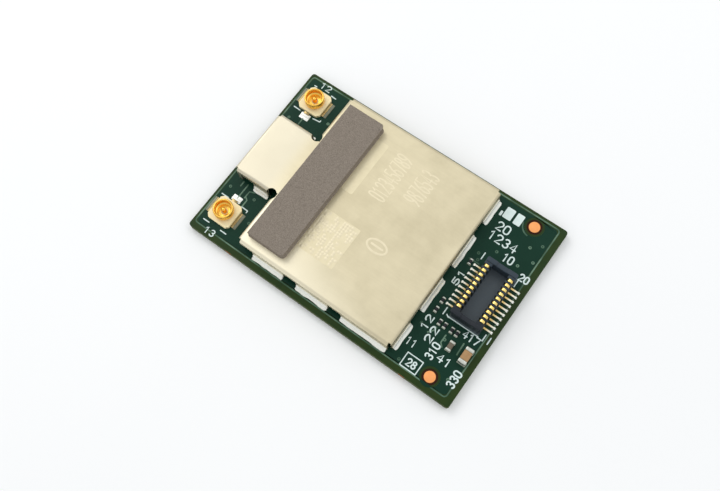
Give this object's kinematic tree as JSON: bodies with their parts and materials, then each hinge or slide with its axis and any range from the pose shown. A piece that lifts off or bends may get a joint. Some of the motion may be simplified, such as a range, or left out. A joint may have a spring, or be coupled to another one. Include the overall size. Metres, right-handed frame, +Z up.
{
  "type": "wireless network module",
  "caption": "Small circuit board with a folded metal shield, a foam strip, miniature coaxial antenna sockets and a board-to-board connector; joins a host board to a wireless network.",
  "frame": {"origin": "middle of the board's flat underside", "axes": "+X along the board's long side towards the board-to-board connector, +Y towards the long edge beside the far coaxial socket, +Z up through the shield can"},
  "size_m": [0.03, 0.02, 0.0035],
  "materials": {
    "mask": "satin",
    "copper": "bare",
    "sheet_metal": "tinned",
    "solder": "bright",
    "foam": "matt",
    "ivory_resin": "moulded",
    "gold_plate": "plated",
    "black_resin": "moulded",
    "tan_ceramic": "fired",
    "brown_ceramic": "fired",
    "chip_resin": "moulded",
    "tin": "plated"
  },
  "bodies": {
    "root": {"circuit_board": "mask", "fiducial_marks": "copper", "shield_can": "sheet_metal", "shield_solder": "solder", "foam_strip": "foam", "far_socket_base": "ivory_resin", "far_socket_shell": "gold_plate", "far_socket_pin": "gold_plate", "near_socket_base": "ivory_resin", "near_socket_shell": "gold_plate", "near_socket_pin": "gold_plate", "socket_solder": "solder", "connector_housing": "black_resin", "contacts_inboard": "gold_plate", "contacts_outboard": "gold_plate", "connector_solder": "solder", "large_capacitor": "tan_ceramic", "large_capacitor_ends": "tin", "supply_resistor": "brown_ceramic", "supply_resistor_ends": "tin", "signal_resistors": "chip_resin", "signal_resistor_ends": "tin", "radio_chip": "chip_resin", "memory_chip": "chip_resin", "front_end_chips": "chip_resin", "reference_crystal": "ivory_resin", "crystal_lid": "gold_plate", "power_regulator": "chip_resin", "power_inductor": "brown_ceramic", "antenna_filters": "ivory_resin", "filter_capacitors": "brown_ceramic", "filter_capacitor_ends": "tin", "bias_resistors": "chip_resin", "bias_resistor_ends": "tin"}
  },
  "joints": []
}
